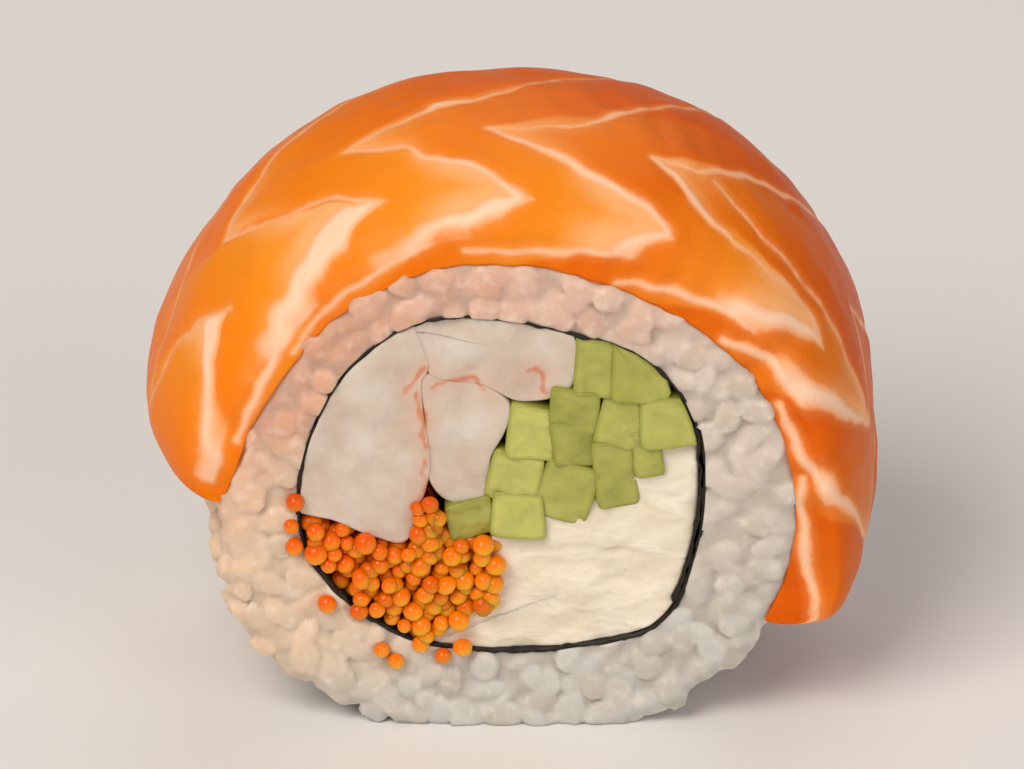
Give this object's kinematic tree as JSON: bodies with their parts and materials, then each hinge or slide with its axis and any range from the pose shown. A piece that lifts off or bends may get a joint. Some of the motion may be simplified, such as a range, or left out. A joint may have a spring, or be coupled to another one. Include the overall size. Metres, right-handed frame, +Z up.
{
  "type": "uramaki roll",
  "caption": "Cut piece of an inside-out sushi roll: a rice ring round a seaweed sheet, shrimp, cucumber sticks, cream cheese and orange roe, draped with salmon.",
  "frame": {"origin": "the point on the supporting surface under the middle of the bounding box", "axes": "+Z up as the piece lies on its side, +Y along the roll away from the shown cut face, +X across the roll to the right of someone who looks at the shown cut face"},
  "size_m": [0.0526, 0.0258, 0.0441],
  "materials": {
    "cooked_rice": "moist cooked white rice",
    "nori_sheet": "damp black-green seaweed sheet",
    "salmon_flesh": "wet orange fish flesh with pale fat lines",
    "boiled_shrimp": "moist greyish white shrimp with pink skin lines",
    "cucumber_flesh": "wet pale green cucumber",
    "cream_cheese": "soft smeared white cheese",
    "orange_roe": "clear orange fish eggs"
  },
  "bodies": {
    "root": {"rice": "cooked_rice", "nori": "nori_sheet", "salmon": "salmon_flesh", "shrimp_left": "boiled_shrimp", "shrimp_top": "boiled_shrimp", "shrimp_middle": "boiled_shrimp", "cucumber_01": "cucumber_flesh", "cucumber_02": "cucumber_flesh", "cucumber_03": "cucumber_flesh", "cucumber_04": "cucumber_flesh", "cucumber_05": "cucumber_flesh", "cucumber_06": "cucumber_flesh", "cucumber_07": "cucumber_flesh", "cucumber_08": "cucumber_flesh", "cucumber_09": "cucumber_flesh", "cucumber_10": "cucumber_flesh", "cucumber_11": "cucumber_flesh", "cucumber_12": "cucumber_flesh", "cucumber_13": "cucumber_flesh", "cream_cheese": "cream_cheese", "roe": "orange_roe"}
  },
  "joints": []
}
